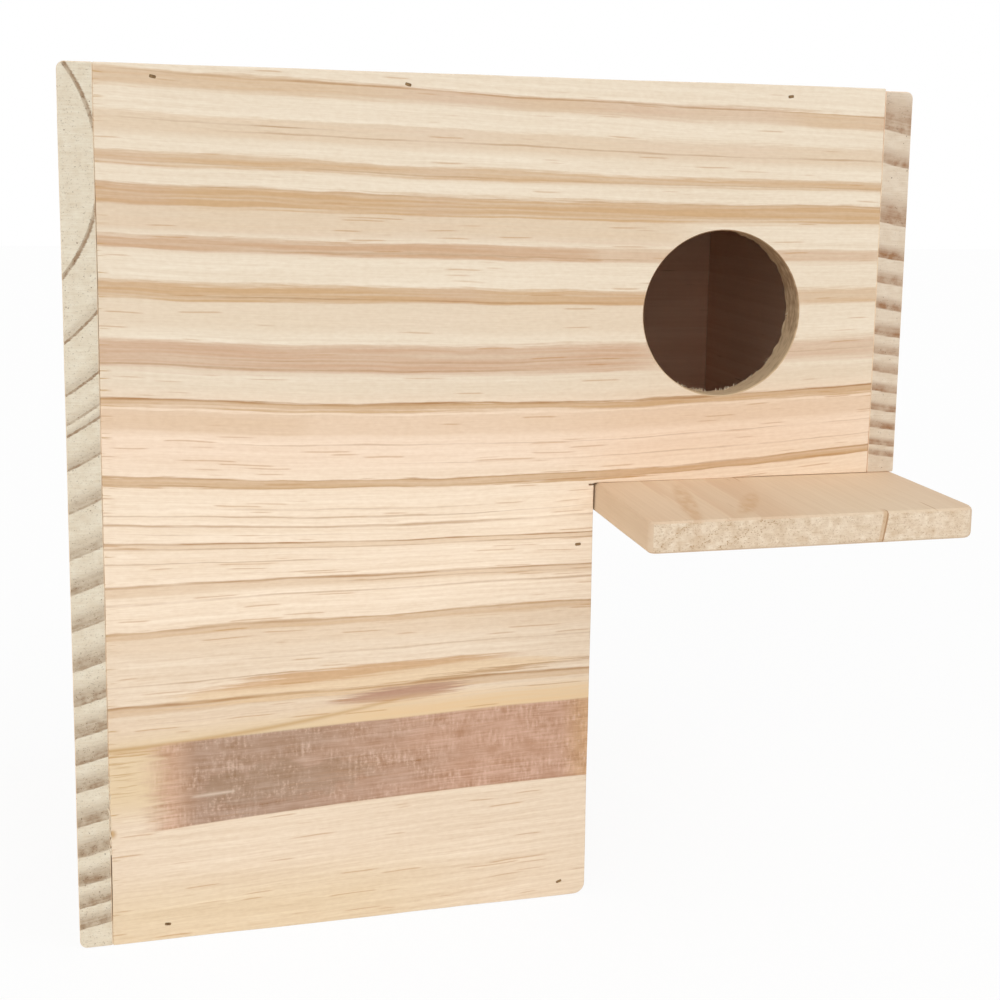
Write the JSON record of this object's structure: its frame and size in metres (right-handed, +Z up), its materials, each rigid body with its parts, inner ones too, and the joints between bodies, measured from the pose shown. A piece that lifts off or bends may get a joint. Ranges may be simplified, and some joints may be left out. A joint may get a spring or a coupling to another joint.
{
  "type": "bird nest box",
  "caption": "L-shaped pine nest box for small parrots: round entrance over a landing board, tall nest chamber, and a hinged inspection door held by a turn button.",
  "frame": {"origin": "middle of the base that the tall leg stands on", "axes": "+Z up, +Y from the front to the back, +X to the entrance leg, seen from the front to the right"},
  "size_m": [0.3, 0.24, 0.3],
  "materials": {
    "pine": "planed, bare",
    "turned_wood": "turned, bare",
    "hinge_steel": "zinc plated",
    "nail_steel": "bare wire"
  },
  "bodies": {
    "box": {"front_panel": "pine", "back_panel": "pine", "left_side": "pine", "right_side": "pine", "roof": "pine", "nest_floor": "pine", "landing_board": "pine", "head_rail": "pine", "door_stop": "pine", "front_nails": "nail_steel", "back_nails": "nail_steel", "left_nails": "nail_steel", "right_nails": "nail_steel", "landing_nails": "nail_steel", "rail_nails": "nail_steel", "lower_hinge_frame_leaf": "hinge_steel", "upper_hinge_frame_leaf": "hinge_steel", "lower_hinge_pin": "hinge_steel", "upper_hinge_pin": "hinge_steel", "frame_hinge_screws": "hinge_steel", "button_screw": "hinge_steel", "button_washer": "hinge_steel"},
    "door": {"inspection_door": "pine", "climbing_rung_1": "pine", "climbing_rung_2": "pine", "climbing_rung_3": "pine", "door_knob": "turned_wood", "lower_hinge_door_leaf": "hinge_steel", "upper_hinge_door_leaf": "hinge_steel", "door_hinge_screws": "hinge_steel"},
    "button": {"turn_button": "turned_wood"}
  },
  "joints": [
    {"name": "door_hinge", "type": "hinge", "parent": "box", "child": "door", "pos_m": [0.0928, 0.0785, 0.066], "axis": [0, 0, 1], "range_deg": [0, 170]},
    {"name": "button_turn", "type": "hinge", "parent": "box", "child": "button", "pos_m": [0.0933, -0.045, 0.133], "axis": [-1, 0, 0], "range_deg": [0, 90]}
  ]
}
